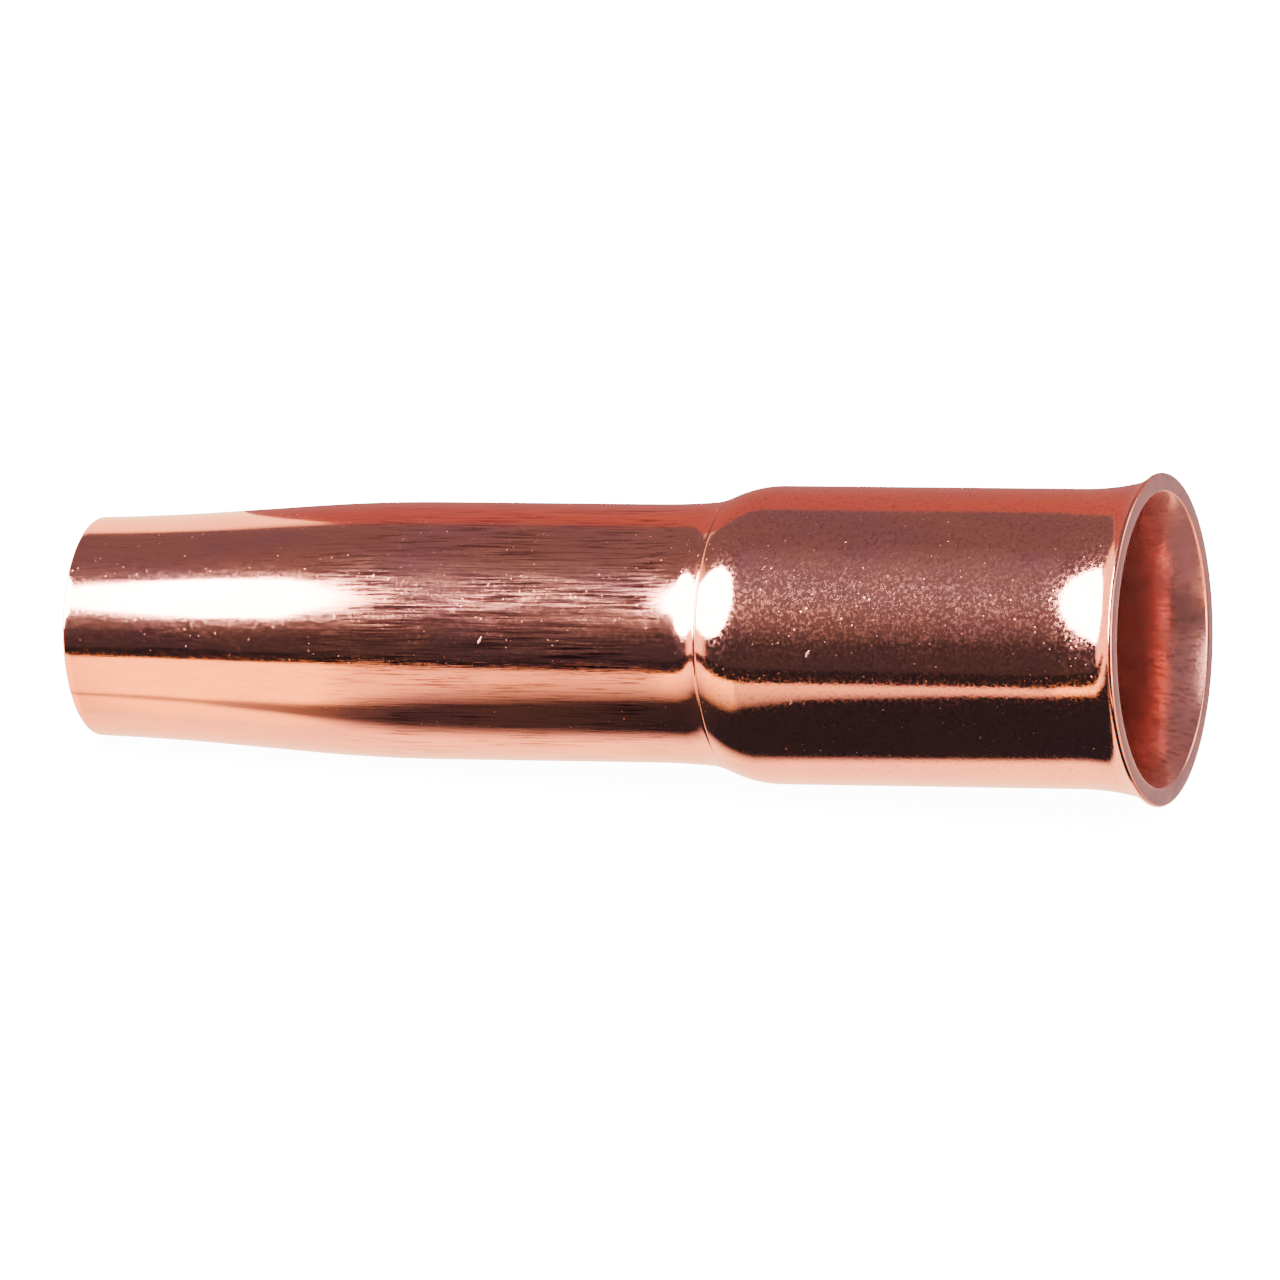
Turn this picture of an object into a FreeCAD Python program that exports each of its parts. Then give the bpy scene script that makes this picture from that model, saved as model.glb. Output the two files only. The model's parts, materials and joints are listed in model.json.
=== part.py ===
import FreeCAD, Part
import math
import os

# Slip-on copper gas nozzle for a wire welding gun: one piece of seamless tube, swaged down at the
# front, expanded into a socket at the rear and bell-mouthed. Millimetres and degrees.
# The tube's axis is X. The bell mouth faces +X and the gas orifice faces -X. The origin is on the
# axis, where the straight socket bore passes into the bell mouth.

# Length
overall_length = 83.0
bell_depth = 5.0                    # from the end of the straight socket bore to the mouth's face
mouth_x = bell_depth
front_x = mouth_x - overall_length

# Front taper, outside
front_outer_radius = 8.15
tube_outer_radius = 19.05 / 2       # 3/4 in tube
nose_angle = 1.6                    # slope of the outside at the front end
taper_angle = 4.15                  # steepest slope of the taper
nose_bend = 230.0                   # long hollow bend from the nose slope to the taper slope
taper_bend = 138.0                  # long round bend from the taper slope to the plain tube

# Front taper, inside
orifice_radius = 12.7 / 2           # 1/2 in gas orifice
orifice_land = 4.0                  # straight length of the orifice
tube_bore_radius = 15.88 / 2        # 5/8 in bore
bore_taper_angle = 4.6
orifice_bend = 50.0
bore_taper_bend = 120.0

# Shoulder and socket, outside
shoulder_x = -29.5                  # where the outside turns up sharply
socket_outer_radius = 10.97
lead_angle = 4.5                    # gentle swell of the tube ahead of the shoulder
lead_bend = 57.0
shoulder_angle = 22.0
shoulder_foot_bend = 5.0
shoulder_crown_bend = 8.5

# Shoulder and socket, inside
bore_shoulder_x = -29.9
socket_bore_radius = 9.5            # slips over a 3/4 in insulator
bore_foot_bend = 6.0
bore_crown_bend = 7.0

# Bell mouth: a long bend runs into a tight one
bell_outer_radius = 12.2
bell_bore_radius = 10.85
bell_long_bend = 20.0
bell_long_angle = 12.5              # slope where the long bend ends
bell_end_angle = 41.0

# Broken edges
mouth_edge_round = 0.20
mouth_bore_round = 0.30
front_edge_round = 0.20
bore_edge_round = 0.15

# The line that the expanding die left round the shoulder's flank
witness_width = 0.24
witness_depth = 0.04


def sine(angle):
    return math.sin(math.radians(angle))


def cosine(angle):
    return math.cos(math.radians(angle))


def bend_rise(radius, start_angle, end_angle):
    """How far an arc climbs while it turns from one heading to the other."""
    return radius * abs(cosine(start_angle) - cosine(end_angle))


def bend_reach(radius, start_angle, end_angle):
    """How far an arc runs along the axis while it turns from one heading to the other."""
    return radius * abs(sine(start_angle) - sine(end_angle))


class Outline:
    """Straight lines and tangent arcs in the half plane above the axis, drawn like a pen stroke."""

    def __init__(self, x, r, heading):
        self.x = x
        self.r = r
        self.heading = heading
        self.edges = []

    def here(self):
        return FreeCAD.Vector(self.x, 0, self.r)

    def line_to(self, x, r):
        start = self.here()
        self.x = x
        self.r = r
        self.edges.append(Part.LineSegment(start, self.here()).toShape())

    def ahead(self, length):
        """Straight on along the present heading."""
        self.line_to(self.x + length * cosine(self.heading), self.r + length * sine(self.heading))

    def bend(self, radius, heading):
        """An arc to the new heading: to the left if the heading grows, to the right if it falls."""
        side = 1 if heading > self.heading else -1
        centre_x = self.x - side * radius * sine(self.heading)
        centre_r = self.r + side * radius * cosine(self.heading)
        stops = [self.here()]
        for angle in ((self.heading + heading) / 2, heading):
            self.x = centre_x + side * radius * sine(angle)
            self.r = centre_r - side * radius * cosine(angle)
            stops.append(self.here())
        self.heading = heading
        self.edges.append(Part.Arc(*stops).toShape())

    def climb(self, rise):
        """Straight on along the present heading until it has climbed by rise."""
        self.ahead(rise / sine(self.heading))


def draw_front_taper(outside):
    outside.bend(nose_bend, taper_angle)
    outside.climb(tube_outer_radius - outside.r - bend_rise(taper_bend, taper_angle, 0))
    outside.bend(taper_bend, 0)


def draw_witness_line(outside):
    """A shallow groove across the present heading."""
    floor_x = outside.x + witness_width / 2 * cosine(outside.heading) + witness_depth * sine(outside.heading)
    floor_r = outside.r + witness_width / 2 * sine(outside.heading) - witness_depth * cosine(outside.heading)
    end_x = outside.x + witness_width * cosine(outside.heading)
    end_r = outside.r + witness_width * sine(outside.heading)
    outside.line_to(floor_x, floor_r)
    outside.line_to(end_x, end_r)


def draw_shoulder(outside):
    outside.line_to(shoulder_x - bend_reach(lead_bend, 0, lead_angle), tube_outer_radius)
    outside.bend(lead_bend, lead_angle)
    outside.bend(shoulder_foot_bend, shoulder_angle)
    flank_rise = socket_outer_radius - outside.r - bend_rise(shoulder_crown_bend, shoulder_angle, 0)
    groove_rise = witness_width * sine(shoulder_angle)
    outside.climb((flank_rise - groove_rise) / 2)
    draw_witness_line(outside)
    outside.climb((flank_rise - groove_rise) / 2)
    outside.bend(shoulder_crown_bend, 0)


def draw_bell(outside):
    """The long bend, then the tight one that reaches the mouth's radius, then the rounded edge."""
    edge_rise = mouth_edge_round * (1 - cosine(bell_end_angle))
    edge_reach = mouth_edge_round * (1 + sine(bell_end_angle))
    long_rise = bend_rise(bell_long_bend, 0, bell_long_angle)
    tight_rise = bell_outer_radius - socket_outer_radius - long_rise - edge_rise
    tight_bend = tight_rise / bend_rise(1, bell_long_angle, bell_end_angle)
    tight_reach = bend_reach(tight_bend, bell_long_angle, bell_end_angle)
    reach = bend_reach(bell_long_bend, 0, bell_long_angle) + tight_reach + edge_reach
    outside.line_to(mouth_x - reach, socket_outer_radius)
    outside.bend(bell_long_bend, bell_long_angle)
    outside.bend(tight_bend, bell_end_angle)
    outside.bend(mouth_edge_round, -90)


def draw_bore(inside):
    """The bore from the orifice to the mouth: land, taper, plain tube, shoulder, socket and bell."""
    inside.line_to(front_x + orifice_land, orifice_radius)
    inside.bend(orifice_bend, bore_taper_angle)
    inside.climb(tube_bore_radius - inside.r - bend_rise(bore_taper_bend, bore_taper_angle, 0))
    inside.bend(bore_taper_bend, 0)
    inside.line_to(bore_shoulder_x, tube_bore_radius)
    inside.bend(bore_foot_bend, shoulder_angle)
    inside.climb(socket_bore_radius - inside.r - bend_rise(bore_crown_bend, shoulder_angle, 0))
    inside.bend(bore_crown_bend, 0)
    inside.line_to(0, socket_bore_radius)
    draw_bell_bore(inside)


def draw_bell_bore(inside):
    """One arc, tangent to the socket bore, that opens to the mouth's bore over the bell's depth."""
    opening = bell_bore_radius - socket_bore_radius
    bell_bore_bend = (bell_depth ** 2 + opening ** 2) / (2 * opening)
    end_angle = math.degrees(math.asin((bell_depth - mouth_bore_round) / (bell_bore_bend - mouth_bore_round)))
    inside.bend(bell_bore_bend, end_angle)
    inside.bend(mouth_bore_round, 90)


def make_nozzle():
    """The wall's section, turned about the axis into one closed solid."""
    inside = Outline(front_x, orifice_radius + bore_edge_round, -90)
    outside = Outline(inside.x, inside.r, 90)
    inside.bend(bore_edge_round, 0)
    draw_bore(inside)
    outside.line_to(front_x, front_outer_radius - front_edge_round)
    outside.bend(front_edge_round, nose_angle)
    draw_front_taper(outside)
    draw_shoulder(outside)
    draw_bell(outside)
    outside.line_to(inside.x, inside.r)
    section = Part.Wire(Part.__sortEdges__(outside.edges + inside.edges))
    return Part.Face(section).revolve(FreeCAD.Vector(0, 0, 0), FreeCAD.Vector(1, 0, 0), 360)


os.makedirs("parts", exist_ok=True)
nozzle = make_nozzle()
nozzle.exportStep("parts/nozzle_body.step")
size = nozzle.optimalBoundingBox(False, False)
print("nozzle_body", nozzle.isValid(), len(nozzle.Solids), "solid", round(nozzle.Volume, 1), "mm3")
print("x", round(size.XMin, 3), round(size.XMax, 3), "across", round(size.YLength, 3), round(size.ZLength, 3))
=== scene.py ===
import json
import math

import bpy
import numpy as np
from mathutils import Matrix, Vector


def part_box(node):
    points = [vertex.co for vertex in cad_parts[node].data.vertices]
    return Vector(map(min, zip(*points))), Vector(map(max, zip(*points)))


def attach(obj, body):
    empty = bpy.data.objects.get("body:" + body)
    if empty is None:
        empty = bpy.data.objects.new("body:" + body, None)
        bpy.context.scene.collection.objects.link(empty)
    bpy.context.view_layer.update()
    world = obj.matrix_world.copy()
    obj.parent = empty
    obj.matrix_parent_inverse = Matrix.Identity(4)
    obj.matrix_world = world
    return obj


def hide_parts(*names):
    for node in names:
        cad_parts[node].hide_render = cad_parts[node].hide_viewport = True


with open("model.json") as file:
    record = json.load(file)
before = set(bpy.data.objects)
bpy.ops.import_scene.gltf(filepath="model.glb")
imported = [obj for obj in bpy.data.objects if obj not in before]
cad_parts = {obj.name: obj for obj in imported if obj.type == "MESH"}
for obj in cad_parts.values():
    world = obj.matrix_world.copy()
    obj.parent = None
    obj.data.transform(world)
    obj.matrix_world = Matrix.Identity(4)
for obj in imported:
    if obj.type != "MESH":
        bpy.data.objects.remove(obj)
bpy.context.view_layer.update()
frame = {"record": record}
print("frame: packed model loaded")

mm = 0.001
mounts = {mount["name"]: mount for mount in frame["record"]["mounts"]}
boxLow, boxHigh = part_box("nozzle_body")
frontX = boxLow.x / mm
mouthX = boxHigh.x / mm

# The nozzle's wall in millimetres and degrees. Slopes are those of the surface against the axis.
nozzle = {
    "frontRadius": 8.15,
    "tubeRadius": 9.525,
    "socketRadius": 10.97,
    "rimRadius": boxHigh.z / mm,
    "orificeBore": mounts["orifice"]["dims"]["r_mm"],
    "tubeBore": 7.94,
    "socketBore": mounts["socket"]["dims"]["r_mm"],
    "mouthBore": 10.85,
    "noseSlope": 1.6, "noseBend": 230.0, "taperSlope": 4.15, "taperBend": 138.0,
    "shoulderX": -29.5, "leadSlope": 4.5, "leadBend": 57.0,
    "shoulderSlope": 22.0, "footBend": 5.0, "crownBend": 8.5,
    "bellBend": 20.0, "bellSlope": 12.5, "rimSlope": 41.0,
    "orificeLand": 4.0, "orificeBend": 50.0, "boreSlope": 4.6, "boreBend": 120.0,
    "boreShoulderX": -29.9, "boreFootBend": 6.0, "boreCrownBend": 7.0,
    "rimRound": 0.20, "lipRound": 0.30, "frontRound": 0.20, "boreRound": 0.15,
    "rimDome": 7.0,         # degrees that the rim's face leans each way from flat
    "witnessWidth": 0.24, "witnessDepth": 0.04,
    "turns": 288,           # points round the tube
    "waviness": 0.0022,     # mm, long shallow waves left by drawing
}

# How it lies: on the socket's crown and the front edge, which tips the axis a few degrees
crownX = -23.9
lieSlope = math.atan((nozzle["socketRadius"] - nozzle["frontRadius"]) / (crownX - frontX - 0.2))
upward = Vector((math.sin(lieSlope), 0, math.cos(lieSlope)))
floorPoint = Vector((crownX * mm, 0, 0)) - upward * nozzle["socketRadius"] * mm

camera = {
    "turn": 19.4, "raise": 11.1,          # degrees round the nozzle and over its floor
    "lens": 450.0, "distance": 1.179,     # mm, m
    "aimRight": 1.0, "aimDown": 0.52,     # mm from the nozzle's middle
    "sensor": 36.0, "clipStart": 0.05, "clipEnd": 20.0,
}


def sine(degrees):
    return math.sin(math.radians(degrees))


def cosine(degrees):
    return math.cos(math.radians(degrees))


def toLinear(hexText):
    # sRGB hex to linear: c/12.92 below 0.04045, else ((c + 0.055)/1.055)^2.4
    parts = [int(hexText[i:i + 2], 16) / 255 for i in (1, 3, 5)]
    return tuple(c / 12.92 if c <= 0.04045 else ((c + 0.055) / 1.055) ** 2.4 for c in parts) + (1.0,)


def addNode(tree, kind, inputs=None, **settings):
    # one node, with its settings and its inputs: each input is a value, another node or a node's output
    node = tree.nodes.new("ShaderNode" + kind)
    for name, value in settings.items():
        setattr(node, name, value)
    for socket, value in (inputs or {}).items():
        if isinstance(value, bpy.types.Node):
            value = value.outputs[0]
        if isinstance(value, bpy.types.NodeSocket):
            tree.links.new(value, node.inputs[socket])
        else:
            node.inputs[socket].default_value = value
    return node


def setRamp(node, stops, interpolation="LINEAR"):
    # stops are (place from 0 to 1, colour)
    ramp = node.color_ramp
    ramp.interpolation = interpolation
    while len(ramp.elements) < len(stops):
        ramp.elements.new(1.0)
    for element, (place, colour) in zip(ramp.elements, stops):
        element.position = place
        element.color = colour


# Camera first: turned round the nozzle's mouth side and raised over the floor it lies on
def placeCamera():
    lying = Matrix.Rotation(lieSlope, 3, "Y")
    turn = math.radians(camera["turn"])
    lift = math.radians(camera["raise"])
    back = lying @ Vector((math.sin(turn) * math.cos(lift), -math.cos(turn) * math.cos(lift), math.sin(lift)))
    rightward = lying @ Vector((math.cos(turn), math.sin(turn), 0))
    above = back.cross(rightward)
    middle = Vector(((frontX + mouthX) / 2 * mm, 0, 0))
    aim = middle + rightward * camera["aimRight"] * mm - above * camera["aimDown"] * mm
    data = bpy.data.cameras.new("camera")
    data.lens = camera["lens"]
    data.sensor_width = camera["sensor"]
    data.clip_start = camera["clipStart"]
    data.clip_end = camera["clipEnd"]
    eye = bpy.data.objects.new("camera", data)
    pose = Matrix((rightward, above, back)).transposed().to_4x4()
    pose.translation = aim + back * camera["distance"]
    eye.matrix_world = pose
    bpy.context.scene.collection.objects.link(eye)
    bpy.context.scene.camera = eye


placeCamera()
print("camera: placed")


# A stroke of the wall's section. A line is points evenly spaced to its end. A bend is an arc of the
# given radius whose tangent turns from one slope to the next:
# x = cx + side R sin(slope), r = cr - side R cos(slope).
class Stroke:
    def __init__(self, x, r, slope):
        self.x, self.r, self.slope = x, r, slope
        self.runs = [np.array([[x, r]])]

    def lineTo(self, x, r, steps):
        share = np.linspace(0, 1, steps + 1)[1:, None]
        self.runs.append((1 - share) * np.array([self.x, self.r]) + share * np.array([x, r]))
        self.x, self.r = x, r

    def climb(self, rise, steps):
        self.lineTo(self.x + rise / math.tan(math.radians(self.slope)), self.r + rise, steps)

    def bend(self, radius, slope, steps):
        side = 1 if slope > self.slope else -1
        centreX = self.x - side * radius * sine(self.slope)
        centreR = self.r + side * radius * cosine(self.slope)
        angle = np.radians(np.linspace(self.slope, slope, steps + 1)[1:])
        arc = np.array([centreX, centreR]) + side * radius * np.stack([np.sin(angle), -np.cos(angle)], axis=1)
        self.runs.append(arc)
        self.x, self.r = arc[-1]
        self.slope = slope

    def points(self):
        return np.concatenate(self.runs)


def bendRise(radius, fromSlope, toSlope):
    return radius * abs(cosine(fromSlope) - cosine(toSlope))


def bendReach(radius, fromSlope, toSlope):
    return radius * abs(sine(fromSlope) - sine(toSlope))


def outsideSection(n):
    # front face, front edge, hollow nose, taper, plain tube, shoulder with its witness line, socket, bell
    path = Stroke(frontX, n["orificeBore"] + n["boreRound"], 90)
    path.lineTo(frontX, n["frontRadius"] - n["frontRound"], 4)
    path.bend(n["frontRound"], n["noseSlope"], 6)
    path.bend(n["noseBend"], n["taperSlope"], 24)
    path.climb(n["tubeRadius"] - path.r - bendRise(n["taperBend"], n["taperSlope"], 0), 10)
    path.bend(n["taperBend"], 0, 20)
    path.lineTo(n["shoulderX"] - bendReach(n["leadBend"], 0, n["leadSlope"]), n["tubeRadius"], 20)
    path.bend(n["leadBend"], n["leadSlope"], 10)
    path.bend(n["footBend"], n["shoulderSlope"], 14)
    flankRise = n["socketRadius"] - path.r - bendRise(n["crownBend"], n["shoulderSlope"], 0)
    grooveRise = n["witnessWidth"] * sine(n["shoulderSlope"])
    path.climb((flankRise - grooveRise) / 2, 3)
    drawWitness(path, n)
    path.climb((flankRise - grooveRise) / 2, 3)
    path.bend(n["crownBend"], 0, 18)
    edgeRise = n["rimRound"] * (1 - cosine(n["rimSlope"]))
    edgeReach = n["rimRound"] * (1 + sine(n["rimSlope"]))
    tightRise = n["rimRadius"] - n["socketRadius"] - bendRise(n["bellBend"], 0, n["bellSlope"]) - edgeRise
    tightBend = tightRise / bendRise(1, n["bellSlope"], n["rimSlope"])
    reach = bendReach(n["bellBend"], 0, n["bellSlope"]) + bendReach(tightBend, n["bellSlope"], n["rimSlope"])
    path.lineTo(mouthX - reach - edgeReach, n["socketRadius"], 28)
    path.bend(n["bellBend"], n["bellSlope"], 14)
    path.bend(tightBend, n["rimSlope"], 12)
    path.bend(n["rimRound"], -90 + n["rimDome"], 10)
    return path


def drawWitness(path, n):
    # the groove's section is half a cosine wave, square to the flank
    share = np.linspace(0, 1, 9)[1:, None]
    along = np.array([cosine(path.slope), sine(path.slope)])
    inward = np.array([sine(path.slope), -cosine(path.slope)])
    depth = n["witnessDepth"] * (1 - np.cos(2 * np.pi * share)) / 2
    groove = np.array([path.x, path.r]) + share * n["witnessWidth"] * along + depth * inward
    path.runs.append(groove)
    path.x, path.r = groove[-1]


def boreSection(n):
    # orifice land, taper, plain bore, inner shoulder, socket bore, bell
    path = Stroke(frontX, n["orificeBore"] + n["boreRound"], -90)
    path.bend(n["boreRound"], 0, 5)
    path.lineTo(frontX + n["orificeLand"], n["orificeBore"], 4)
    path.bend(n["orificeBend"], n["boreSlope"], 8)
    path.climb(n["tubeBore"] - path.r - bendRise(n["boreBend"], n["boreSlope"], 0), 6)
    path.bend(n["boreBend"], 0, 10)
    path.lineTo(n["boreShoulderX"], n["tubeBore"], 8)
    path.bend(n["boreFootBend"], n["shoulderSlope"], 8)
    path.climb(n["socketBore"] - path.r - bendRise(n["boreCrownBend"], n["shoulderSlope"], 0), 3)
    path.bend(n["boreCrownBend"], 0, 8)
    path.lineTo(0, n["socketBore"], 12)
    opening = n["mouthBore"] - n["socketBore"]
    radius = (mouthX ** 2 + opening ** 2) / (2 * opening)
    path.bend(radius, math.degrees(math.asin((mouthX - n["lipRound"]) / (radius - n["lipRound"]))), 14)
    path.bend(n["lipRound"], 90 - n["rimDome"], 8)
    return path


def wavySkin(x, around, n):
    # long shallow waves: a sum of cosines that turn slowly round the tube as they run along it
    # each wave is (radians along per mm, waves round, start), and the shorter ones are shallower
    waves = ((0.21, 5, 0.3), (0.13, 9, 1.7), (0.34, 14, 2.9), (0.09, 23, 4.1), (0.05, 41, 0.8))
    depth = sum(
        np.cos(rate * x + count * around + start) / (1 + 0.05 * count) for rate, count, start in waves
    )
    return n["waviness"] * depth / len(waves)


def buildNozzle(n):
    # a closed section turned round X: y = -r cos(a), z = r sin(a), with the waves added to r outside
    outside = outsideSection(n).points()
    bore = boreSection(n).points()[::-1]
    share = np.linspace(0, 1, 8)[1:-1, None]
    face = (1 - share) * outside[-1] + share * bore[0]
    face[:, :1] += math.tan(math.radians(n["rimDome"])) * (outside[-1, 1] - bore[0, 1]) * share * (1 - share)
    section = np.concatenate([outside, face, bore[:-1]])
    rows, turns = len(section), n["turns"]
    around = np.linspace(0, 2 * np.pi, turns, endpoint=False)
    x = np.repeat(section[:, :1], turns, axis=1)
    radius = np.repeat(section[:, 1:], turns, axis=1)
    ease = np.clip((x - frontX - 1) / 4, 0, 1) * np.clip((mouthX - 2 - x) / 4, 0, 1)
    radius[:len(outside)] += (ease * wavySkin(x, around, n))[:len(outside)]
    verts = np.stack([x, -radius * np.cos(around), radius * np.sin(around)], axis=2).reshape(-1, 3) * mm
    row, col = np.meshgrid(np.arange(rows), np.arange(turns), indexing="ij")
    rowNext, colNext = (row + 1) % rows, (col + 1) % turns
    corners = [row * turns + col, rowNext * turns + col, rowNext * turns + colNext, row * turns + colNext]
    faces = np.stack(corners, axis=2).reshape(-1, 4)
    mesh = bpy.data.meshes.new("nozzle")
    mesh.from_pydata(verts, [], faces)
    mesh.shade_smooth()
    # the outside is finish 0, the front face and the rim from edge to lip are finish 1, the bore is finish 2
    frontRows, edgeRows, lipRows = 4, 6, 4
    boreStart = len(outside) + len(face) + lipRows
    finish = np.zeros((rows, turns), dtype=np.int32)
    finish[:frontRows] = 1
    finish[len(outside) - edgeRows:boreStart] = 1
    finish[boreStart:] = 2
    mesh.polygons.foreach_set("material_index", finish.ravel())
    return mesh


nozzleMesh = buildNozzle(nozzle)
nozzleObject = bpy.data.objects.new("nozzle", nozzleMesh)
bpy.context.scene.collection.objects.link(nozzleObject)
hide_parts("nozzle_body")
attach(nozzleObject, "root")
print("nozzle:", len(nozzleMesh.vertices), "points")

copper = {
    "tone": "#F99579",            # clean copper
    "tarnish": "#EF8F80",         # the faint pinker film on it
    "grime": "#8E4A40",           # oil and oxide left in the draw lines
    "boreTone": "#D9897C",        # the bore, a little dulled by the drawing oil
    "roughness": 0.08, "faceRoughness": 0.20, "boreRoughness": 0.20,
    "hazeLow": 0.074, "hazeHigh": 0.094,                        # roughness of the clean surface
    "boreHazeLow": 0.17, "boreHazeHigh": 0.27, "boreMetal": 0.984,
    # mm along X where each zone fades in or out
    "lineEnd": (-27.55, -27.65), "socketStart": (-27.6, -26.0),
    "taperFade": (-62.0, -50.0), "shoulderFade": (-29.5, -32.5), "rubbedMouth": (-0.5, 1.5),
    # mm: draw lines, twice as wide as real ones so that they show, and the broad ridges under them
    "lineWidth": 0.15, "lineLength": 5.0, "lineDepth": 0.008,
    "ridgeWidth": 0.9, "ridgeLength": 40.0, "ridgeDepth": 0.012,
    # mm: orange peel of the stretched socket, and the matt flecks between its grains
    "peel": 0.30, "peelDepth": 0.005, "fleck": 0.26,
    # mm: handling marks
    "hairSpacing": 1.1, "hairWidth": 0.022, "hairBreak": 0.7, "hairWarp": 2.2,
    "pitSpacing": 0.40, "pitSize": 0.08, "pitRarest": 0.35,
    "nickSpacing": 0.8, "nickSize": 0.085, "nickRarest": 0.72, "nickDepth": 0.004,
    "nickSlant": -62.0, "nickStretch": 5.0,
    # mm: the lathe's rings on the faces, and the lines rubbed into the bore's mouth
    "ringSpacing": 1 / 7, "faceGrain": 0.5, "faceDepth": 0.005,
    "boreLineWidth": 0.22, "boreLineLength": 8.0, "boreLineDepth": 0.014,
    "borePeel": 0.6, "borePeelDepth": 0.008,
}


def metalNodes(material, tone, roughness):
    # a bare metal: returns its tree, its shader and the coordinates of its points in millimetres
    material.use_nodes = True
    tree = material.node_tree
    shader = tree.nodes["Principled BSDF"]
    shader.inputs["Base Color"].default_value = toLinear(tone)
    shader.inputs["Metallic"].default_value = 1.0
    shader.inputs["Roughness"].default_value = roughness
    place = addNode(tree, "TexCoord")
    millimetres = addNode(tree, "VectorMath", {0: place.outputs["Object"], 3: 1 / mm}, operation="SCALE")
    return tree, shader, millimetres.outputs[0]


def stretchedNoise(tree, place, along, across, detail=2.0, rough=0.55):
    # noise whose grains are along mm by across mm
    size = (1 / along, 1 / across, 1 / across)
    grain = addNode(tree, "VectorMath", {0: place, 1: size}, operation="MULTIPLY")
    settings = {"Vector": grain, "Scale": 1.0, "Detail": detail, "Roughness": rough}
    return addNode(tree, "TexNoise", settings).outputs["Fac"]


def sumLayers(tree, base, layers):
    # base plus, for each layer, its pattern times its amount times the zone it is on
    total = base
    for pattern, amount, zone in layers:
        share = addNode(tree, "Math", {0: zone, 1: amount}, operation="MULTIPLY")
        total = addNode(tree, "Math", {0: pattern, 1: share, 2: total}, operation="MULTIPLY_ADD")
    return total


def speckCells(tree, place, spacing, rarest, size):
    # round specks, at most one to a cell: a cell's chance above rarest gives a speck of up to size
    cells = addNode(tree, "TexVoronoi", {"Vector": place, "Scale": 1 / spacing})
    chance = addNode(tree, "SeparateColor", {0: cells.outputs["Color"]})
    reach = addNode(tree, "MapRange", {0: chance, 1: rarest, 2: 1.0, 3: 0.0, 4: size / spacing})
    return addNode(tree, "Math", {0: cells.outputs["Distance"], 1: reach}, operation="LESS_THAN")


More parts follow.
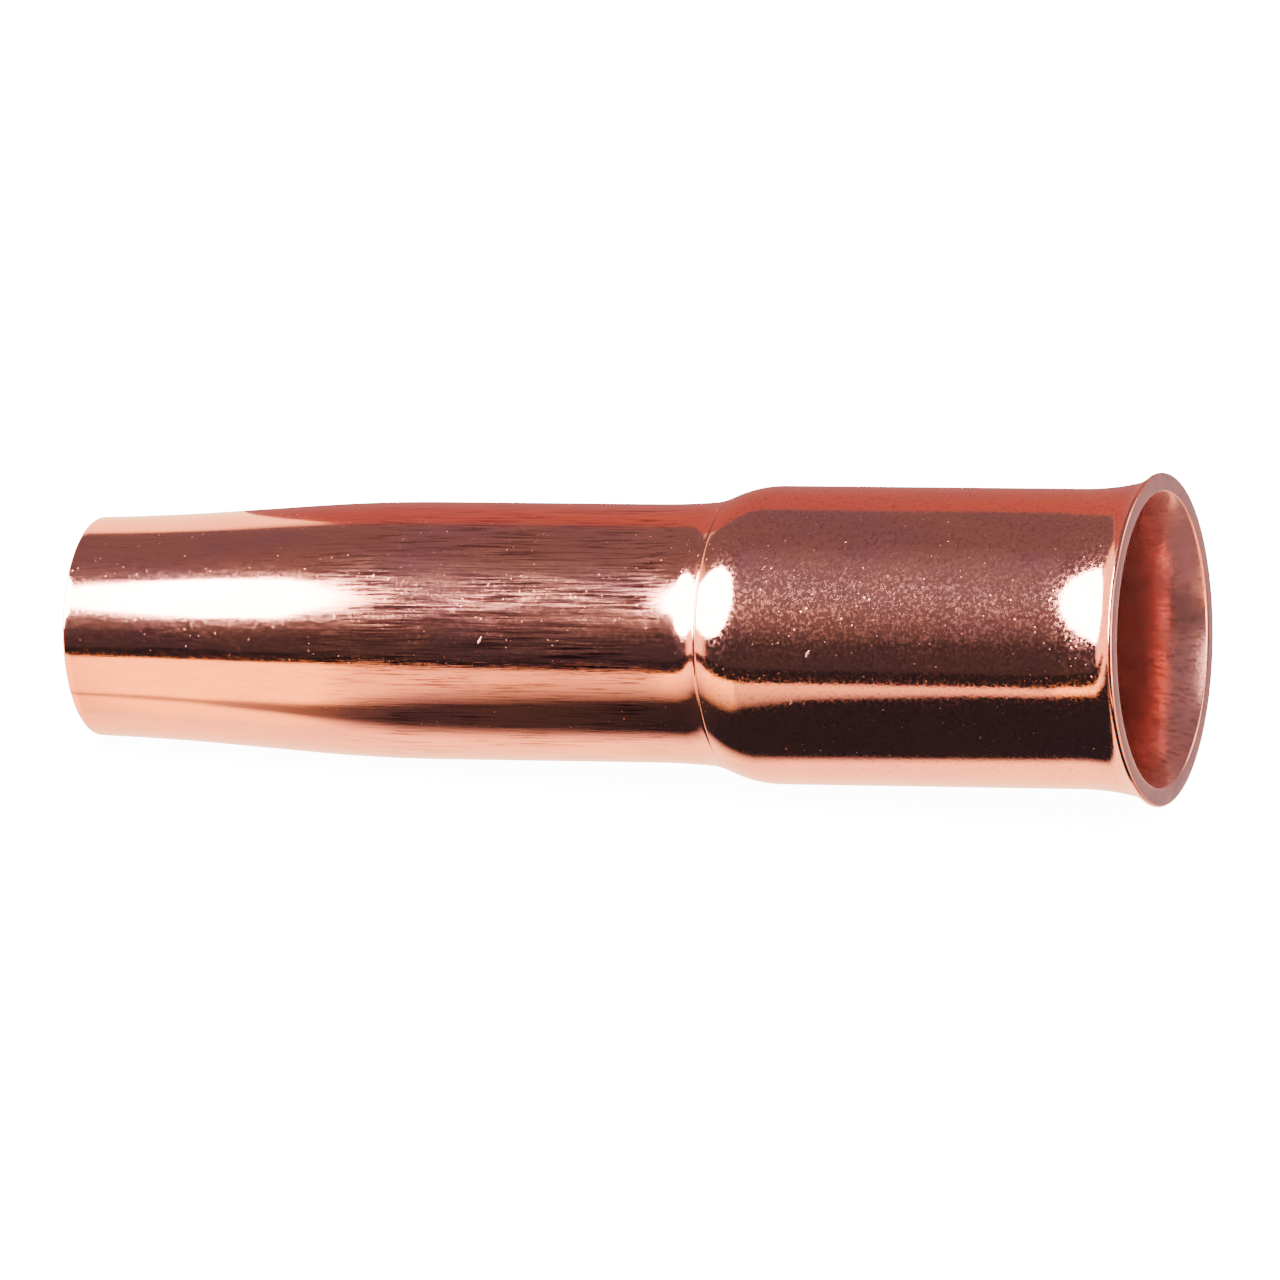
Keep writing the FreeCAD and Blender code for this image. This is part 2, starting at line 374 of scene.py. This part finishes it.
def drawnCopper(c):
    # Bright drawn copper tube: mirror-like, with lengthwise draw lines on the plain tube, orange peel where
    # the socket was stretched, and the hair scratches, pits and nicks of handling
    material = bpy.data.materials.new("drawnCopper")
    tree, shader, place = metalNodes(material, c["tone"], c["roughness"])
    soft = {"interpolation_type": "SMOOTHSTEP"}
    x = addNode(tree, "SeparateXYZ", {0: place})
    lineEnd, socketStart = c["lineEnd"], c["socketStart"]
    taperFade, shoulderFade = c["taperFade"], c["shoulderFade"]
    tubeZone = addNode(tree, "MapRange", {0: x, 1: lineEnd[0], 2: lineEnd[1]})
    socketZone = addNode(tree, "MapRange", {0: x, 1: socketStart[0], 2: socketStart[1]}, **soft)
    fromTaper = addNode(tree, "MapRange", {0: x, 1: taperFade[0], 2: taperFade[1], 3: 0.2, 4: 1.0}, **soft)
    nearShoulder = {0: x, 1: shoulderFade[0], 2: shoulderFade[1], 3: 0.25, 4: 1.0}
    toShoulder = addNode(tree, "MapRange", nearShoulder, **soft)
    lineStretch = addNode(tree, "Math", {0: fromTaper, 1: toShoulder}, operation="MULTIPLY")
    lineZone = addNode(tree, "Math", {0: lineStretch, 1: tubeZone}, operation="MULTIPLY")
    smudge = stretchedNoise(tree, place, 7.0, 3.0)
    handled = addNode(tree, "MapRange", {0: smudge, 1: 0.38, 2: 0.62, 3: 0.4, 4: 1.0}, **soft)
    workedLines = addNode(tree, "Math", {0: lineZone, 1: handled}, operation="MULTIPLY")

    lines = stretchedNoise(tree, place, c["lineLength"], c["lineWidth"], 3.0, 0.7)
    ridges = stretchedNoise(tree, place, c["ridgeLength"], c["ridgeWidth"], 1.0)
    peel = stretchedNoise(tree, place, c["peel"], c["peel"], 3.0, 0.6)
    flecks = stretchedNoise(tree, place, c["fleck"], c["fleck"], 3.0, 0.6)

    # hairs: the borders of warped cells, broken up by noise
    warp = addNode(tree, "TexNoise", {"Vector": place, "Scale": 0.6, "Detail": 2.0})
    bend = {0: warp.outputs["Color"], 1: (c["hairWarp"],) * 3, 2: place}
    warped = addNode(tree, "VectorMath", bend, operation="MULTIPLY_ADD")
    hairCells = {"Vector": warped, "Scale": 1 / c["hairSpacing"]}
    hairEdge = addNode(tree, "TexVoronoi", hairCells, feature="DISTANCE_TO_EDGE")
    hairLine = addNode(tree, "MapRange", {0: hairEdge, 1: c["hairWidth"], 2: 0.0})
    breaks = stretchedNoise(tree, place, c["hairBreak"], c["hairBreak"])
    hairGaps = addNode(tree, "MapRange", {0: breaks, 1: 0.52, 2: 0.66})
    pits = speckCells(tree, place, c["pitSpacing"], c["pitRarest"], c["pitSize"])
    turn = (0, math.radians(c["nickSlant"]), 0)
    slant = {"Vector": place, "Rotation": turn, "Scale": (c["nickStretch"], 1, 1)}
    slanted = addNode(tree, "Mapping", slant, vector_type="TEXTURE")
    nicks = speckCells(tree, slanted, c["nickSpacing"], c["nickRarest"], c["nickSize"])

    height = sumLayers(tree, 0.0, [
        (lines, c["lineDepth"], lineZone),
        (ridges, c["ridgeDepth"], tubeZone),
        (peel, c["peelDepth"], socketZone),
        (nicks, c["nickDepth"], 1.0),
    ])
    bump = addNode(tree, "Bump", {"Strength": 1.0, "Distance": mm, "Height": height})
    tree.links.new(bump.outputs[0], shader.inputs["Normal"])

    # what is drawn, stretched or scratched spreads the light more
    cloud = stretchedNoise(tree, place, 5.0, 2.5, 3.0)
    haze = addNode(tree, "MapRange", {0: cloud, 1: 0.35, 2: 0.7, 3: c["hazeLow"], 4: c["hazeHigh"]})
    streaks = addNode(tree, "MapRange", {0: lines, 1: 0.43, 2: 0.60, 3: -0.035, 4: 0.085}, **soft)
    matt = addNode(tree, "MapRange", {0: flecks, 1: 0.45, 2: 0.60, 3: -0.025, 4: 0.058}, **soft)
    rough = sumLayers(tree, haze, [
        (streaks, 1.0, workedLines),
        (matt, 1.0, socketZone),
        (matt, 0.45, tubeZone),
        (hairLine, 0.06, hairGaps),
        (pits, 0.24, handled),
        (nicks, 0.25, 1.0),
    ])
    tree.links.new(rough.outputs[0], shader.inputs["Roughness"])

    stain = stretchedNoise(tree, place, 11.0, 4.0, 4.0)
    film = addNode(tree, "MapRange", {0: stain, 1: 0.38, 2: 0.66}, **soft)
    filmTones = {0: film, 6: toLinear(c["tone"]), 7: toLinear(c["tarnish"])}
    clean = addNode(tree, "Mix", filmTones, data_type="RGBA")
    grooves = addNode(tree, "MapRange", {0: lines, 1: 0.48, 2: 0.38}, **soft)
    hollows = addNode(tree, "MapRange", {0: peel, 1: 0.50, 2: 0.32}, **soft)
    dirt = sumLayers(tree, 0.0, [(grooves, 1.0, workedLines), (hollows, 0.35, socketZone)])
    tones = {0: dirt, 6: clean.outputs[2], 7: toLinear(c["grime"])}
    tree.links.new(addNode(tree, "Mix", tones, data_type="RGBA").outputs[2], shader.inputs["Base Color"])
    return material


def turnedCopper(c):
    # Copper faced on a lathe: fine rings round the axis that spread each reflection
    material = bpy.data.materials.new("turnedCopper")
    tree, shader, place = metalNodes(material, c["tone"], c["faceRoughness"])
    parts = addNode(tree, "SeparateXYZ", {0: place})
    flat = addNode(tree, "CombineXYZ", {1: parts.outputs[1], 2: parts.outputs[2]})
    radius = addNode(tree, "VectorMath", {0: flat}, operation="LENGTH").outputs["Value"]
    turning = {"W": radius, "Scale": 1 / c["ringSpacing"], "Detail": 2.0}
    rings = addNode(tree, "TexNoise", turning, noise_dimensions="1D")
    grain = stretchedNoise(tree, place, c["faceGrain"], c["faceGrain"], 3.0)
    height = sumLayers(tree, 0.0, [(rings, c["faceDepth"], 1.0), (grain, c["faceDepth"], 1.0)])
    bump = addNode(tree, "Bump", {"Strength": 1.0, "Distance": mm, "Height": height})
    tree.links.new(bump.outputs[0], shader.inputs["Normal"])
    film = addNode(tree, "MapRange", {0: stretchedNoise(tree, place, 2.0, 2.0, 3.0), 1: 0.35, 2: 0.65})
    tones = {0: film, 6: toLinear(c["tone"]), 7: toLinear(c["boreTone"])}
    tree.links.new(addNode(tree, "Mix", tones, data_type="RGBA").outputs[2], shader.inputs["Base Color"])
    return material


def boreCopper(c):
    # The bore as the mandrel left it: lengthwise lines and a thin film of oxide, which is not quite metal
    material = bpy.data.materials.new("boreCopper")
    tree, shader, place = metalNodes(material, c["boreTone"], c["boreRoughness"])
    shader.inputs["Metallic"].default_value = c["boreMetal"]
    # the insulator has rubbed its lines into the mouth, and further in the bore is smooth
    x = addNode(tree, "SeparateXYZ", {0: place})
    rubbedMouth = c["rubbedMouth"]
    rubbed = addNode(tree, "MapRange", {0: x, 1: rubbedMouth[0], 2: rubbedMouth[1]})
    lines = stretchedNoise(tree, place, c["boreLineLength"], c["boreLineWidth"], 3.0, 0.65)
    peel = stretchedNoise(tree, place, c["borePeel"], c["borePeel"], 2.0)
    height = sumLayers(tree, 0.0, [(lines, c["boreLineDepth"], rubbed), (peel, c["borePeelDepth"], 1.0)])
    bump = addNode(tree, "Bump", {"Strength": 1.0, "Distance": mm, "Height": height})
    tree.links.new(bump.outputs[0], shader.inputs["Normal"])
    cloud = stretchedNoise(tree, place, 6.0, 3.0, 3.0)
    haze = addNode(tree, "MapRange", {0: cloud, 1: 0.35, 2: 0.65, 3: c["boreHazeLow"], 4: c["boreHazeHigh"]})
    tree.links.new(haze.outputs[0], shader.inputs["Roughness"])
    grooves = addNode(tree, "MapRange", {0: lines, 1: 0.48, 2: 0.36, 3: 0.0, 4: 0.5})
    dirt = addNode(tree, "Math", {0: grooves, 1: rubbed}, operation="MULTIPLY")
    tones = {0: dirt, 6: toLinear(c["boreTone"]), 7: toLinear(c["grime"])}
    tree.links.new(addNode(tree, "Mix", tones, data_type="RGBA").outputs[2], shader.inputs["Base Color"])
    return material


for build in (drawnCopper, turnedCopper, boreCopper):
    nozzleMesh.materials.append(build(copper))
print("copper: drawn, turned and bore finishes")

# Studio
studio = {
    "flat": 2.0, "floorRadius": 3.1, "wallRise": 1.6, "segments": 96,     # m, and points round
    "paper": "#F4F2F0", "paperRoughness": 0.9, "paperGlow": 12.0,
}


def sweepMesh():
    # a round floor that curves up into a wall: height = rise times (share of the way past the flat) squared
    flat, floorRadius, segments = studio["flat"], studio["floorRadius"], studio["segments"]
    reach = np.concatenate([[0.0], np.geomspace(0.02, flat, 24), np.linspace(flat + 0.1, floorRadius, 16)])
    around = np.linspace(0, 2 * np.pi, segments, endpoint=False)
    height = studio["wallRise"] * np.clip((reach - flat) / (floorRadius - flat), 0, 1) ** 2
    east, north = reach[:, None] * np.cos(around), reach[:, None] * np.sin(around)
    grid = np.stack([east, north, np.repeat(height[:, None], segments, axis=1)], axis=2)
    lying = np.array(Matrix.Rotation(lieSlope, 3, "Y"))
    verts = grid.reshape(-1, 3) @ lying.T + np.array(floorPoint)
    row, col = np.meshgrid(np.arange(len(reach) - 1), np.arange(segments), indexing="ij")
    at, ahead = row * segments + col, row * segments + (col + 1) % segments
    faces = np.stack([at, at + segments, ahead + segments, ahead], axis=2)
    mesh = bpy.data.meshes.new("paperSweep")
    mesh.from_pydata(verts, [], faces.reshape(-1, 4))
    mesh.shade_smooth()
    return mesh


def paleMaterial():
    # Matt white background paper, smooth uncoated stock: it glows, so that it reads as plain white
    material = bpy.data.materials.new("palePaper")
    material.use_nodes = True
    shader = material.node_tree.nodes["Principled BSDF"]
    shader.inputs["Base Color"].default_value = toLinear(studio["paper"])
    shader.inputs["Roughness"].default_value = studio["paperRoughness"]
    shader.inputs["Emission Color"].default_value = (1, 1, 1, 1)
    shader.inputs["Emission Strength"].default_value = studio["paperGlow"]
    return material


sweep = bpy.data.objects.new("paperSweep", sweepMesh())
sweep.data.materials.append(paleMaterial())
sweep.visible_glossy = False
bpy.context.scene.collection.objects.link(sweep)

# The floor in front of the tube, as its side reflects it, painted on a card that only reflections see: a
# painted shadow under the tube, clear where the paper counts as lit, and past the paper's edge a painted
# dark band for a dark table. At each place along X: where the painted shadow starts and ends in front of
# the axis, how far it fades beyond, where the paper ends and the painted dark band begins, all in mm, and
# how deep the shadow is.
shadow = {
    "x":     (-100, -80, -70, -62, -57, -52, -46, -30, -23, -11, 10),
    "start": (8.8, 8.8, 8.7, 8.2, 7.7, 7.0, 6.6, 6.6, 6.9, 7.1, 7.5),
    "soft":  (0.4, 0.4, 0.4, 0.5, 0.8, 1.2, 1.3, 1.2, 0.7, 0.6, 0.6),
    "end":   (9.1, 9.2, 9.3, 9.9, 10.9, 11.8, 12.3, 14.5, 20.0, 23.5, 24.5),
    "fade":  (0.6, 0.6, 0.8, 1.8, 4.0, 9.0, 14.0, 13.0, 6.0, 3.5, 3.5),
    "paper": (24.0, 25.5, 28.0, 29.5, 28.5, 27.8, 27.5, 28.4, 28.8, 29.4, 30.3),
    "depth": (0.72, 0.72, 0.78, 0.92, 0.96, 0.985, 0.985, 1.0, 1.0, 1.0, 1.0),
    # the edge value is how far, in mm, the painted dark band fades in; glow, skyGlow and skyTone set the
    # painted sky light
    "near": 5, "far": 45, "pointsAcross": 121, "pointsAlong": 161, "lift": 0.05, "paperEdge": 0.5,
    "fadeCurve": 0.6, "glow": 0.05, "skyGlow": 1.3, "skyTone": (0.75, 1.0, 1.4, 1),
}


def smooth(low, high, value):
    share = np.clip((value - low) / (high - low), 0, 1)
    return share * share * (3 - 2 * share)


def shadowCard():
    # a flat grid just over the floor: height follows the floor's slope, shade is the painted shadow's fade in
    # and out and the painted dark band past the paper's edge, and glow is painted sky light where it is half
    # in shadow
    across, along = shadow["pointsAcross"], shadow["pointsAlong"]
    columns = np.linspace(shadow["x"][0], shadow["x"][-1], across)
    x, reach = np.meshgrid(columns, np.linspace(shadow["near"], shadow["far"], along), indexing="ij")
    keys = ("start", "soft", "end", "fade", "paper", "depth")
    start, soft, end, fade, paper, depth = (np.interp(x, shadow["x"], shadow[key]) for key in keys)
    faded = smooth(0, 1, (reach - end) / fade) ** shadow["fadeCurve"]
    shade = depth * smooth(start - soft, start + soft, reach) * (1 - faded)
    # past the paper's edge the card is painted dark: a painted reflection of a dark table
    shade = np.maximum(shade, smooth(paper - shadow["paperEdge"], paper + shadow["paperEdge"], reach))
    normal = np.array(upward)
    height = (np.array(floorPoint) @ normal - x * mm * normal[0]) / normal[2] + shadow["lift"] * mm
    verts = np.stack([x * mm, -reach * mm, height], axis=2).reshape(-1, 3)
    row, col = np.meshgrid(np.arange(across - 1), np.arange(along - 1), indexing="ij")
    at = row * along + col
    faces = np.stack([at, at + 1, at + along + 1, at + along], axis=2).reshape(-1, 4)
    mesh = bpy.data.meshes.new("shadowCard")
    mesh.from_pydata(verts, [], faces)
    layer = mesh.attributes.new("shade", "FLOAT", "POINT")
    layer.data.foreach_set("value", shade.ravel())
    # painted bluish sky light, strongest where the painted shadow is half way
    glow = mesh.attributes.new("glow", "FLOAT", "POINT")
    glow.data.foreach_set("value", (shadow["glow"] + shadow["skyGlow"] * shade * (1 - shade)).ravel())
    return mesh


def shadowMaterial():
    # A painted shadow on the reflected paper: clear where it counts as lit, and a dim bluish glow, painted
    # sky light, where it is painted as shaded
    material = bpy.data.materials.new("shadowCard")
    material.use_nodes = True
    tree = material.node_tree
    tree.nodes.clear()
    shade = addNode(tree, "Attribute", attribute_name="shade")
    clear = addNode(tree, "BsdfTransparent")
    skyLight = addNode(tree, "Attribute", attribute_name="glow")
    glow = addNode(tree, "Emission", {"Color": shadow["skyTone"], "Strength": skyLight.outputs["Fac"]})
    film = addNode(tree, "MixShader", {0: shade.outputs["Fac"], 1: clear.outputs[0], 2: glow.outputs[0]})
    addNode(tree, "OutputMaterial", {"Surface": film.outputs[0]})
    return material


card = bpy.data.objects.new("shadowCard", shadowCard())
card.data.materials.append(shadowMaterial())
card.visible_camera = False
card.visible_diffuse = False
card.visible_shadow = False
bpy.context.scene.collection.objects.link(card)

# The room's tones as linear light
tones = {
    "white": (6.0, 5.6, 5.2), "paper": (4.1, 2.75, 1.55), "warmPaper": (5.6, 3.7, 1.0),
    "salmon": (3.0, 2.1, 1.1), "orange": (0.70, 0.275, 0.25), "mauve": (0.66, 0.62, 0.70),
    "haze": (0.36, 0.39, 0.50), "dusk": (0.36, 0.30, 0.33), "dim": (0.33, 0.30, 0.36),
    "brown": (0.27, 0.27, 0.33), "dark": (0.085, 0.10, 0.125),
}

# The room round the tube by the angle round the X axis: 0 level in front, 90 overhead, 180 level behind
# and -90 straight down. Each list is the room seen towards one part of the axis.
middleBands = [
    (-180, "paper"), (-100, "paper"), (-90, "salmon"), (-23.5, "salmon"), (-21.5, "dark"), (4, "dark"),
    (22, "brown"), (42, "haze"), (66, "haze"), (86, "brown"), (124, "brown"), (131, "paper"), (180, "paper"),
]
leftBands = [
    (-180, "paper"), (-100, "paper"), (-85, "warmPaper"), (-20, "warmPaper"), (-18, "dark"), (8, "dark"),
    (26, "brown"), (124, "brown"), (131, "paper"), (180, "paper"),
]
rightBands = [
    (-180, "mauve"), (-160, "mauve"), (-145, "salmon"), (-132, "dusk"), (-112, "dusk"), (-34, "dim"),
    (-26, "dark"), (0, "dark"), (14, "brown"), (80, "brown"), (115, "dusk"), (140, "dusk"),
    (158, "mauve"), (180, "mauve"),
]
farRightBands = [
    (-180, "dusk"), (-158, "dark"), (-150, "salmon"), (-100, "paper"), (-30, "salmon"), (-24, "dark"),
    (6, "brown"), (24, "white"), (60, "white"), (64, "brown"), (114, "brown"), (118, "white"),
    (156, "white"), (160, "haze"), (180, "dusk"),
]
allPaper = [(-180, "paper"), (180, "paper")]

# Where each list takes over from the ones before it: how far the direction leans along X, from and to
sides = [
    (leftBands, -0.40, -0.43), (rightBands, 0.06, 0.12),
    (farRightBands, 0.58, 0.64), (allPaper, -0.80, -0.86),
]

# A warm brown board that glows stands behind the tube, seen only in its reflections: a painted reflection,
# and no lamp. All in mm.
board = {"left": -76.0, "topLeft": -83.5, "right": 8.0, "behind": 30.0, "foot": -11.0, "top": 60.0}


def boardBehind():
    outline = (("left", "foot"), ("right", "foot"), ("right", "top"), ("topLeft", "top"))
    corners = [(board[x] * mm, board["behind"] * mm, board[z] * mm) for x, z in outline]
    mesh = bpy.data.meshes.new("boardBehind")
    mesh.from_pydata(corners, [], [(0, 1, 2, 3)])
    material = bpy.data.materials.new("boardBehind")
    material.use_nodes = True
    tree = material.node_tree
    tree.nodes.clear()
    # the board's glow is a painted reflection: it lights nothing
    glow = addNode(tree, "Emission", {"Color": tones["orange"] + (1.0,), "Strength": 1.0})
    addNode(tree, "OutputMaterial", {"Surface": glow.outputs[0]})
    mesh.materials.append(material)
    plane = bpy.data.objects.new("boardBehind", mesh)
    plane.visible_camera = False
    plane.visible_diffuse = False
    plane.visible_shadow = False
    bpy.context.scene.collection.objects.link(plane)


boardBehind()


def roomLight():
    world = bpy.data.worlds.new("room")
    bpy.context.scene.world = world
    world.use_nodes = True
    tree = world.node_tree
    tree.nodes.clear()
    look = addNode(tree, "TexCoord")
    parts = addNode(tree, "SeparateXYZ", {0: look.outputs["Generated"]})
    front = addNode(tree, "Math", {0: parts.outputs["Y"], 1: -1.0}, operation="MULTIPLY")
    angle = addNode(tree, "Math", {0: parts.outputs["Z"], 1: front}, operation="ARCTAN2")
    place = addNode(tree, "MapRange", {0: angle, 1: -math.pi, 2: math.pi, 3: 0.0, 4: 1.0})
    bright = 6.0                            # the brightest tone, so that the ramps stay within 1
    mixed = None
    for bands, leanFrom, leanTo in [(middleBands, 0.0, 1.0)] + sides:
        ramp = addNode(tree, "ValToRGB", {0: place})
        stops = [((a + 180) / 360, tuple(c / bright for c in tones[tone]) + (1.0,)) for a, tone in bands]
        setRamp(ramp, stops)
        if mixed is None:
            mixed = ramp.outputs[0]
            continue
        lean = addNode(tree, "MapRange", {0: parts.outputs["X"], 1: leanFrom, 2: leanTo, 3: 0.0, 4: 1.0})
        mixed = addNode(tree, "Mix", {0: lean, 6: mixed, 7: ramp}, data_type="RGBA").outputs[2]
    sky = addNode(tree, "Background", {"Color": mixed, "Strength": bright})
    addNode(tree, "OutputWorld", {"Surface": sky.outputs[0]})


roomLight()


def softbox(name, tilt, lift, distance, width, height, radiance, colour="#FFFFFF"):
    # an area light aimed at the tube's middle from tilt degrees towards -X and lift degrees round the X
    # axis, distance metres away. Its width runs along the tilt and its height along the lift. A
    # rectangle's radiance is its power over pi times its area.
    out = Vector((-sine(tilt), -cosine(tilt) * cosine(lift), cosine(tilt) * sine(lift)))
    across = Vector((-cosine(tilt), sine(tilt) * cosine(lift), -sine(tilt) * sine(lift)))
    data = bpy.data.lights.new(name, "AREA")
    data.shape = "RECTANGLE"
    data.size = width
    data.size_y = height
    data.energy = radiance * math.pi * width * height
    data.color = toLinear(colour)[:3]
    lamp = bpy.data.objects.new(name, data)
    pose = Matrix((across, out.cross(across), out)).transposed().to_4x4()
    pose.translation = Vector(((frontX + mouthX) / 2 * mm, 0, 0)) + out * distance
    lamp.matrix_world = pose
    lamp.visible_camera = False
    bpy.context.scene.collection.objects.link(lamp)
    return lamp


lamps = {
    "keySoftbox": {"tilt": 46, "lift": 41, "distance": 1.0, "width": 0.75, "height": 0.84, "radiance": 66.0},
    "sideSoftbox": {
        "tilt": -66, "lift": -8, "distance": 1.0, "width": 0.35, "height": 0.5, "radiance": 18.0,
        "colour": "#FFF4E4",
    },
    "overheadLight": {"tilt": 0, "lift": 90, "distance": 1.6, "width": 2.0, "height": 2.0, "radiance": 20.0},
}
key = softbox("keySoftbox", **lamps["keySoftbox"])
key.data.shape = "ELLIPSE"
key.data.energy *= math.pi / 4            # an ellipse's share of its rectangle
key.visible_diffuse = False
side = softbox("sideSoftbox", **lamps["sideSoftbox"])
side.visible_diffuse = False
overhead = softbox("overheadLight", **lamps["overheadLight"])
overhead.visible_glossy = False
print("studio: sweep, card, room and lights")
